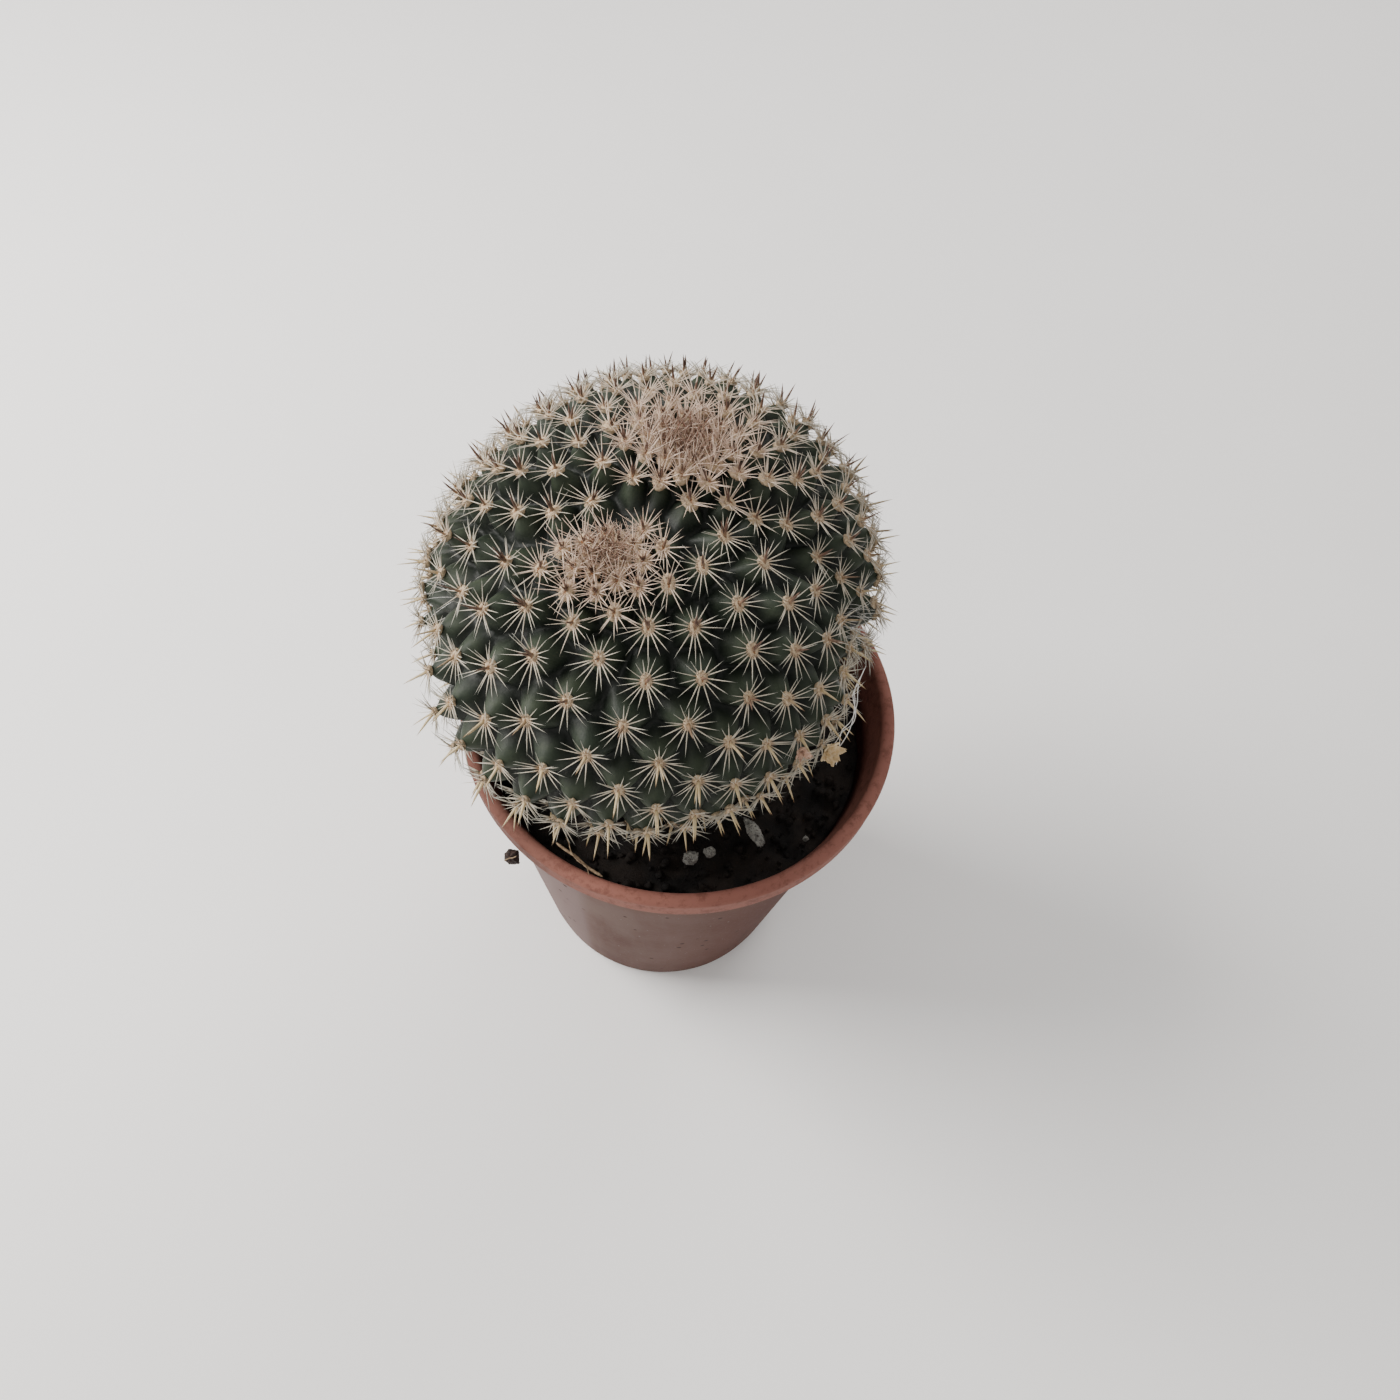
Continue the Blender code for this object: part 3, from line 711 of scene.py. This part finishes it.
def central_spines(number, rng):
    """One to four stout spines: up and dark on the upper half, out and down and pale below."""
    tip, out, grown, low = TIPS[number], OUT[number], GROWN[number], LOW[number]
    found = []
    for i in range(rng.choice((1, 1, 2)) + (grown < 0.3) + (low < 0.2 and rng.random() < 0.4)):
        aside = EAST[number] * rng.uniform(-0.32, 0.32)
        lean = -0.55 * low + rng.uniform(0.1, 0.75) * (1.0 - low)
        way = unit(out + aside + UPHILL[number] * lean)
        size = (0.52 + 0.36 * grown) * (1.0 - low) + 1.08 * low
        length = CENTRAL_LENGTH * size * rng.uniform(0.75, 1.05)
        bend = -UPHILL[number] * rng.uniform(0.0, 0.12) * low + aside * rng.uniform(-0.2, 0.2)
        thick = CENTRAL_THICKNESS * (0.7 + 0.3 * grown) * rng.uniform(0.75, 1.1)
        found.append((tip + out * 0.0004, way, length, thick, bend, 0.25 + 0.75 * low, 1.0))
    return found


def spine_horn():
    made, shader, place = finish("spine_horn", 0.45, Specular_IOR_Level=0.4)
    along, age, stout = (marked(place, name) for name in ("along", "age", "stout"))
    grain = place.noise(1100.0, 2.0, 0.5)
    young = age.step(0.02, 0.28).blend((0.190, 0.092, 0.060), (0.700, 0.545, 0.440))
    cream = age.step(0.45, 0.95).blend(young, (0.53, 0.480, 0.385))
    dusty = (grain.step(0.45, 0.75) * 0.6).blend(cream, (0.30, 0.255, 0.190))
    greyer = along.step(0.35, 1.0).blend(dusty, (0.37, 0.375, 0.330))
    side = along.step(0.22, 0.0).blend(age.step(0.5, 0.9).blend(dusty, greyer), (0.44, 0.315, 0.205))
    yellow = grain.step(0.3, 0.7).blend((0.560, 0.455, 0.270), (0.470, 0.360, 0.200))
    brown = grain.step(0.3, 0.7).blend((0.150, 0.088, 0.062), (0.085, 0.045, 0.032))
    pale_foot = along.step(0.45, 0.0).blend(brown, (0.33, 0.215, 0.135))
    tipped = along.step(0.70, 1.0).blend(yellow, (0.24, 0.125, 0.050))
    central = age.step(0.40, 0.80).blend(pale_foot, tipped)
    feed(shader, Base_Color=stout.blend(side, central))
    feed(shader, Roughness=grain * 0.2 + 0.36)
    feed(shader, Normal=grain.bump(0.00006, 0.4))
    return made


def spine_nodes():
    """The frame's spine nodes, and the name of the one that stands on each tip."""
    names = [n for n in sorted(frame["nodes"]) if n.startswith(("spine_row", "crown_spines"))]
    corners = [(v.co.copy(), name) for name in names for v in frame["nodes"][name].data.vertices]
    tree = kdtree.KDTree(len(corners))
    for number, (co, _) in enumerate(corners):
        tree.insert(co, number)
    tree.balance()
    owners = [corners[tree.find(Vector(tip))[1]][1] for tip in TIPS]
    return names, owners


NODE_NAMES, OWNERS = spine_nodes()
horn = spine_horn()
for coat in ("spine_row_front", "spine_row_back", "crown_spines_front", "crown_spines_back"):
    rng = random.Random(coat)
    thorns = []
    for number, owner in enumerate(OWNERS):
        if owner.startswith(coat):
            thorns += side_spines(number, rng) + central_spines(number, rng)
    piece = shown(coat.replace("row", "coat"), thorns_mesh(coat, thorns), horn)
    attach(piece, "root")
    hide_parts(*[name for name in NODE_NAMES if name.startswith(coat)])


# ---------------------------------------------------------------- wool
# At the foot of each star is the areole itself: an oval cushion of tan felt with a brown slit
# down its middle. At the two growing points the felt is thick enough to run together.

PAD_HALF = Vector((0.00100, 0.00146, 0.00076))
FRINGE = 34
CROWN_HAIRS = 110
CROWN_UNDER = 0.35
HAIR_THICKNESS = 0.00006


def pads_mesh(name, numbers, seed):
    """An oval cushion on each of these tips, in one mesh, with its distance from the slit."""
    rng = random.Random(seed)
    ball = bmesh.new()
    bmesh.ops.create_icosphere(ball, subdivisions=3, radius=1.0)
    base = [v.co.copy() for v in ball.verts]
    sides = [[v.index for v in f.verts] for f in ball.faces]
    ball.free()
    points, faces, core = [], [], []
    for number in numbers:
        size = 1.45 - 0.45 * GROWN[number]
        half = PAD_HALF * size * rng.uniform(0.88, 1.10)
        axes = Matrix((EAST[number], UPHILL[number], OUT[number])).transposed()
        shift = Vector([rng.uniform(0.0, 40.0) for _ in range(3)])
        start = len(points)
        for co in base:
            rough = 1.0 + 0.22 * noise.noise(co * 2.6 + shift) + 0.10 * noise.noise(co * 7.0 + shift)
            slit = max(0.0, 1.0 - abs(co.x) / 0.35) * (co.z > 0.0) * (abs(co.y) < 0.75)
            grown = Vector((co.x * half.x, co.y * half.y, co.z * half.z * (1.0 - 0.4 * slit))) * rough
            points.append(Vector(TIPS[number]) + axes @ grown + Vector(OUT[number]) * 0.0001)
            core.append(math.hypot(co.x / 0.38, co.y / 0.80) if co.z > 0.0 else 2.0)
        faces += [[start + k for k in side] for side in sides]
    mesh = bpy.data.meshes.new(name)
    mesh.from_pydata(points, [], faces)
    mesh.attributes.new("core", "FLOAT", "POINT").data.foreach_set("value", core)
    return mesh


def felt_hairs(number, rng):
    """Short curled hairs: a fringe round a grown areole, a deep pile at a growing point."""
    tip, out, grown = TIPS[number], OUT[number], GROWN[number]
    found = []
    at_crown = grown <= CROWN_UNDER
    for i in range(CROWN_HAIRS if at_crown else FRINGE):
        angle = rng.uniform(0.0, math.tau)
        flat = EAST[number] * math.cos(angle) * 0.8 + UPHILL[number] * math.sin(angle)
        spread = rng.uniform(0.0, 1.6) if at_crown else rng.uniform(0.3, 1.0)
        root = tip + flat * 0.0012 * spread + out * 0.0002
        way = unit(out * rng.uniform(0.2, 1.0) + flat * rng.uniform(-0.2, 0.9))
        length = rng.uniform(0.0006, 0.0013) + 0.0006 * (1.0 - grown) * rng.random()
        bend = flat * rng.uniform(-0.5, 0.5) + EAST[number] * rng.uniform(-0.5, 0.5)
        found.append((root, way, length, HAIR_THICKNESS, bend, grown, 0.0))
    return found


def felt():
    made, shader, place = finish("areole_felt", 0.9, Specular_IOR_Level=0.2)
    core = marked(place, "core")
    pile = place.noise(3200.0, 3.0, 0.6)
    tan = pile.step(0.35, 0.7).blend((0.430, 0.320, 0.205), (0.620, 0.500, 0.350))
    slit = (core + (pile - 0.5) * 0.9).step(0.80, 0.35)
    feed(shader, Base_Color=slit.blend(tan, (0.235, 0.110, 0.050)))
    feed(shader, Roughness=pile * 0.15 + 0.8)
    feed(shader, Normal=pile.bump(0.00025, 0.9))
    return made


def felt_hair():
    made, shader, place = finish("felt_hair", 0.85, Specular_IOR_Level=0.2)
    age = marked(place, "age")
    strand = place.noise(2400.0, 1.0, 0.5)
    tan = age.step(0.1, 0.8).blend((0.80, 0.620, 0.510), (0.64, 0.510, 0.385))
    feed(shader, Base_Color=strand.step(0.55, 0.85).blend(tan, (0.34, 0.220, 0.165)))
    feed(shader, Roughness=strand * 0.2 + 0.7)
    return made


felt_finish, hair_finish = felt(), felt_hair()
for head in ("front", "back"):
    rng = random.Random(head)
    numbers = [n for n, owner in enumerate(OWNERS) if head in owner]
    pads = shown(f"areole_pads_{head}", pads_mesh("pads", numbers, head), felt_finish)
    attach(pads, "root")
    hairs = [hair for n in numbers for hair in felt_hairs(n, rng)]
    fringe = shown(f"areole_wool_{head}", thorns_mesh("wool", hairs, 3, 3), hair_finish)
    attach(fringe, "root")


# ---------------------------------------------------------------- white hairs
# In the fold between the two heads, where it comes round to the sides, long fine white hairs
# stand out of the skin in tufts.

TUFT_HAIRS = 8
FOLD_WIDTH = 0.0135
FOLD_SIDES = 0.0385
SILK_THICKNESS = 0.00007


def fold_hairs(rng):
    """Tufts between each two tips that face each other over the fold, thickest at the sides."""
    front = [n for n, owner in enumerate(OWNERS) if "front" in owner]
    back = [n for n, owner in enumerate(OWNERS) if "back" in owner]
    found = []
    for first in front:
        for second in back:
            apart = TIPS[second] - TIPS[first]
            side = abs(TIPS[first][0] - STEM_MIDDLE.x)
            if np.linalg.norm(apart) > FOLD_WIDTH or side < FOLD_SIDES:
                continue
            out = unit(OUT[first] + OUT[second])
            for i in range(TUFT_HAIRS):
                root = TIPS[first] + apart * rng.uniform(0.2, 0.8) - out * rng.uniform(0.0015, 0.003)
                lean = unit(apart) * rng.uniform(-0.6, 0.6) + UPHILL[first] * rng.uniform(-0.7, 0.5)
                way = unit(out + lean)
                bend = UPHILL[first] * rng.uniform(-0.5, 0.1) + unit(apart) * rng.uniform(-0.4, 0.4)
                length = rng.uniform(0.006, 0.0100)
                found.append((root, way, length, SILK_THICKNESS, bend, 1.0, 0.0))
    return found


def white_hair():
    made, shader, place = finish("white_hair", 0.6, Specular_IOR_Level=0.3)
    strand = place.noise(700.0, 2.0, 0.5)
    feed(shader, Base_Color=strand.step(0.3, 0.7).blend((0.74, 0.72, 0.68), (0.88, 0.87, 0.84)))
    feed(shader, Roughness=strand * 0.2 + 0.5)
    return made


silk = white_hair()
tufts = shown("fold_hairs", thorns_mesh("fold_hairs", fold_hairs(random.Random(8)), 3, 5), silk)
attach(tufts, "root")


# ---------------------------------------------------------------- perlite
# Grains of perlite, a white volcanic foam mixed into the compost to open it. They lie on top,
# stained by the peat, with their broken bubbles showing.


def grain_mesh(name, node):
    """A bubbly lump as long, as wide and as thick as its plain solid, and turned as that lies."""
    corners = np.array([v.co for v in frame["nodes"][node].data.vertices])
    centre = (corners.max(axis=0) + corners.min(axis=0)) / 2.0
    _, _, ways = np.linalg.svd(corners - centre, full_matrices=False)
    reach = np.abs((corners - centre) @ ways.T).max(axis=0)
    middle, half, turn = Vector(centre), Vector(reach), Matrix(ways).transposed()
    rng = random.Random(node)
    shift = Vector([rng.uniform(0.0, 30.0) for _ in range(3)])
    lump = bmesh.new()
    bmesh.ops.create_icosphere(lump, subdivisions=5, radius=1.0)
    for vert in lump.verts:
        way = vert.co.copy()
        big = noise.noise(way * 1.6 + shift) * 0.30
        fine = noise.fractal(way * 4.5 + shift, 0.7, 2.2, 4) * 0.17
        grown = way * (0.92 + big + fine)
        vert.co = middle + turn @ Vector((grown.x * half.x, grown.y * half.y, grown.z * half.z))
    mesh = bpy.data.meshes.new(name)
    lump.to_mesh(mesh)
    lump.free()
    return mesh


def foam():
    made, shader, place = finish("perlite_foam", 0.85, Specular_IOR_Level=0.3)
    pores = place.cells(2100.0)
    dirt = place.noise(420.0, 4.0, 0.65)
    chalk = pores.step(0.15, 0.45).blend((0.13, 0.125, 0.112), (0.37, 0.365, 0.335))
    feed(shader, Base_Color=dirt.step(0.50, 0.68).blend(chalk, (0.045, 0.040, 0.036)))
    feed(shader, Roughness=dirt * 0.2 + 0.7)
    feed(shader, Normal=pores.bump(0.00025, 0.8))
    return made


foam_finish = foam()
for node in sorted(name for name in frame["nodes"] if name.startswith("perlite")):
    grain = shown(f"{node}_foam", grain_mesh(f"{node}_foam", node), foam_finish)
    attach(grain, "root")
    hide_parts(node)


# ---------------------------------------------------------------- dried flowers
# Two spent flowers that have stuck to the spines: crumpled papery tubes with their petals
# shrivelled outwards, and white threads of old style and wool hanging from the larger one.

PETALS = 6
PETAL_ROWS = 7
PETAL_COLUMNS = 5
PETAL_SIZE = 0.58
PAPER = 0.00012
THREADS = 3
THREAD_THICKNESS = 0.00010

# The vector noise starts from the clock unless it is told where to start.
CRUMPLE_SEED = 4
noise.seed_set(CRUMPLE_SEED)


def flower_mesh(name, low, high, face, seed):
    """Crumpled petals round a short tube. The flower looks towards face."""
    rng = random.Random(seed)
    middle = (low + high) / 2.0
    size = max(high - low) * PETAL_SIZE
    turn = face.to_track_quat("Z", "Y").to_matrix()
    points, faces = [], []
    for petal in range(PETALS):
        angle = math.tau * petal / PETALS + rng.uniform(-0.25, 0.25)
        spread = rng.uniform(0.55, 1.0)
        curl = rng.uniform(-0.4, 0.6)
        start = len(points)
        for row in range(PETAL_ROWS):
            t = row / (PETAL_ROWS - 1)
            wide = 0.34 * math.sin(math.pi * (0.15 + 0.80 * t)) + 0.03
            for column in range(PETAL_COLUMNS):
                c = 2.0 * column / (PETAL_COLUMNS - 1) - 1.0
                out = 0.16 + spread * t**1.3
                high_up = -0.55 + 0.95 * t - curl * t * t * 0.6 + 0.16 * c * c
                spot = Vector((out * math.cos(angle), out * math.sin(angle), high_up))
                spot += Vector((-math.sin(angle), math.cos(angle), 0.0)) * wide * c
                crumple = noise.noise_vector(spot * 3.4 + Vector((seed * 7.1, 0.0, 0.0)))
                points.append(middle + turn @ ((spot + crumple * 0.17) * size))
        for row in range(PETAL_ROWS - 1):
            for column in range(PETAL_COLUMNS - 1):
                near = start + row * PETAL_COLUMNS + column
                far = near + PETAL_COLUMNS
                faces.append((near, near + 1, far + 1, far))
    mesh = bpy.data.meshes.new(name)
    mesh.from_pydata(points, [], faces)
    return mesh


def papery(name, light, dark):
    made, shader, place = finish(name, 0.75, Specular_IOR_Level=0.3)
    vein = place.stretched(1.0, 1.0, 0.3).noise(1500.0, 4.0, 0.6)
    stain = place.noise(450.0, 2.0, 0.5)
    worn = vein.step(0.35, 0.7).blend(dark, light)
    feed(shader, Base_Color=stain.step(0.55, 0.75).blend(worn, dark))
    feed(shader, Roughness=vein * 0.2 + 0.6)
    feed(shader, Normal=vein.bump(0.0002, 0.8))
    return made


def threads_mesh(name, routes, radius, sides=5):
    """Thin tubes along routes of points, in one mesh."""
    points, faces = [], []
    for route in routes:
        start = len(points)
        before = None
        for i, spot in enumerate(route):
            along = (route[min(i + 1, len(route) - 1)] - route[max(i - 1, 0)]).normalized()
            east = along.orthogonal().normalized()
            if before and east.dot(before) < 0.0:
                east.negate()
            before = east
            north = along.cross(east)
            wide = radius * (0.35 if i in (0, len(route) - 1) else 1.0)
            for side in range(sides):
                angle = math.tau * side / sides
                points.append(spot + (east * math.cos(angle) + north * math.sin(angle)) * wide)
        rows = len(route)
        for i in range(rows - 1):
            for side in range(sides):
                a, b = start + i * sides + side, start + i * sides + (side + 1) % sides
                faces.append((a, b, b + sides, a + sides))
        faces.append([start + side for side in range(sides)][::-1])
        faces.append([start + (rows - 1) * sides + side for side in range(sides)])
    mesh = bpy.data.meshes.new(name)
    mesh.from_pydata(points, [], faces)
    return mesh


def wandering(start, end, points, stray, seed):
    """A route from start to end that strays from the straight line."""
    route = []
    for i in range(points):
        t = i / (points - 1)
        wind = noise.noise_vector(Vector((t * 2.6, seed * 3.7, 0.0))) * stray * math.sin(math.pi * t)
        route.append(start.lerp(end, t) + wind)
    return route


def add_flowers():
    yellow = papery("dry_petal_yellow", (0.74, 0.62, 0.42), (0.54, 0.39, 0.21))
    pink = papery("dry_petal_pink", (0.64, 0.45, 0.34), (0.40, 0.24, 0.17))
    flowers = (
        ("dried_flower_1", (0.5, -0.6, 0.55), yellow, 3),
        ("dried_flower_2", (0.3, -0.9, 0.1), pink, 4),
    )
    for node, face, colour, seed in flowers:
        low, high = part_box(node)
        mesh = flower_mesh(node, low, high, Vector(face), seed)
        flower = shown(f"{node}_petals", mesh, colour)
        sheet = flower.modifiers.new("paper", "SOLIDIFY")
        sheet.thickness = PAPER
        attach(flower, "root")
        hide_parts(node)


def add_threads():
    """White threads that hang from the spines above the larger flower, down past it."""
    low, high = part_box("dried_flower_1")
    middle = (low + high) / 2.0
    routes = []
    for i in range(THREADS):
        above = middle + Vector((0.0035 + 0.0004 * i, 0.0100 + 0.0012 * i, 0.0120 + 0.0010 * i))
        below = middle + Vector((0.0005 + 0.0008 * i, 0.0020 - 0.0010 * i, -0.0030 - 0.0010 * i))
        routes.append(wandering(above, below, 22, 0.0042, i + 1.0))
    threads = shown("dried_threads", threads_mesh("threads", routes, THREAD_THICKNESS), silk)
    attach(threads, "root")


add_flowers()
add_threads()


# ---------------------------------------------------------------- chip and straw
# A dark flake of bark caught on the outside of the lip, with a pale fibre across it, and a blade
# of dry grass that has fallen over the lip's inner edge.


FLATS = (0.15, 1.50, 2.50, 3.30, 4.10, 4.90)
STRAW_THICKNESS = 0.00034
FIBRE_THICKNESS = 0.00014


def flake_mesh(low, high):
    """A flat broken flake: a ragged outline, thick in the middle, with layered edges."""
    middle, half = (low + high) / 2.0, (high - low) / 2.0
    lump = bmesh.new()
    bmesh.ops.create_icosphere(lump, subdivisions=4, radius=1.0)
    for vert in lump.verts:
        way = vert.co.copy()
        around = math.atan2(way.y * 0.85 + way.z * 0.52, way.x)
        edge = 1.02 / max(math.cos(around - flat) for flat in FLATS)
        ledges = round(way.y * 4.0) / 4.0
        rough = 0.10 * noise.noise(way * 5.0)
        shape = Vector((way.x, 0.35 * ledges + 0.65 * way.y, way.z)) * edge
        shape *= 1.04 + rough
        vert.co = middle + Vector((shape.x * half.x, shape.y * half.y, shape.z * half.z))
    mesh = bpy.data.meshes.new("flake")
    lump.to_mesh(mesh)
    lump.free()
    return mesh


def bark_skin():
    made, shader, place = finish("bark_skin", 0.8, Specular_IOR_Level=0.3)
    layers = place.stretched(1.0, 1.0, 3.0).noise(700.0, 4.0, 0.7)
    dark = layers.step(0.35, 0.7).blend((0.012, 0.007, 0.006), (0.050, 0.028, 0.022))
    feed(shader, Base_Color=layers.step(0.66, 0.74).blend(dark, (0.20, 0.14, 0.10)))
    feed(shader, Roughness=layers * 0.2 + 0.65)
    feed(shader, Normal=layers.bump(0.0004, 0.9))
    return made


chip_low, chip_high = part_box("bark_chip")
chip = shown("bark_flake", flake_mesh(chip_low, chip_high), bark_skin(), smooth=False)
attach(chip, "root")
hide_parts("bark_chip")

straw_low, straw_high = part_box("straw")
straw_start = Vector((straw_low.x, straw_high.y, straw_high.z - 0.0003))
straw_end = Vector((straw_high.x, straw_low.y, straw_low.z + 0.0003))
chip_middle = (chip_low + chip_high) / 2.0
chip_half = (chip_high - chip_low) / 2.0
fibre_start = chip_middle + Vector((-0.85 * chip_half.x, -1.20 * chip_half.y, 0.75 * chip_half.z))
fibre_end = chip_middle + Vector((0.95 * chip_half.x, -0.55 * chip_half.y, 1.35 * chip_half.z))
grass = papery("dry_grass", (0.30, 0.22, 0.14), (0.15, 0.10, 0.06))
split_start = straw_start + Vector((0.002, 0.001, 0.0009))
split_end = straw_end - Vector((0.003, 0.0, 0.0))
blades = [wandering(straw_start, straw_end, 14, 0.0006, 2.0)]
fibres = [wandering(split_start, split_end, 12, 0.0014, 5.0)]
fibres += [wandering(fibre_start, fibre_end, 10, 0.0003, 9.0)]
blade = shown("straw_blade", threads_mesh("straw", blades, STRAW_THICKNESS), grass)
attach(blade, "root")
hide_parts("straw")
strand = shown("straw_fibre", threads_mesh("fibre", fibres, FIBRE_THICKNESS), grass)
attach(strand, "root")
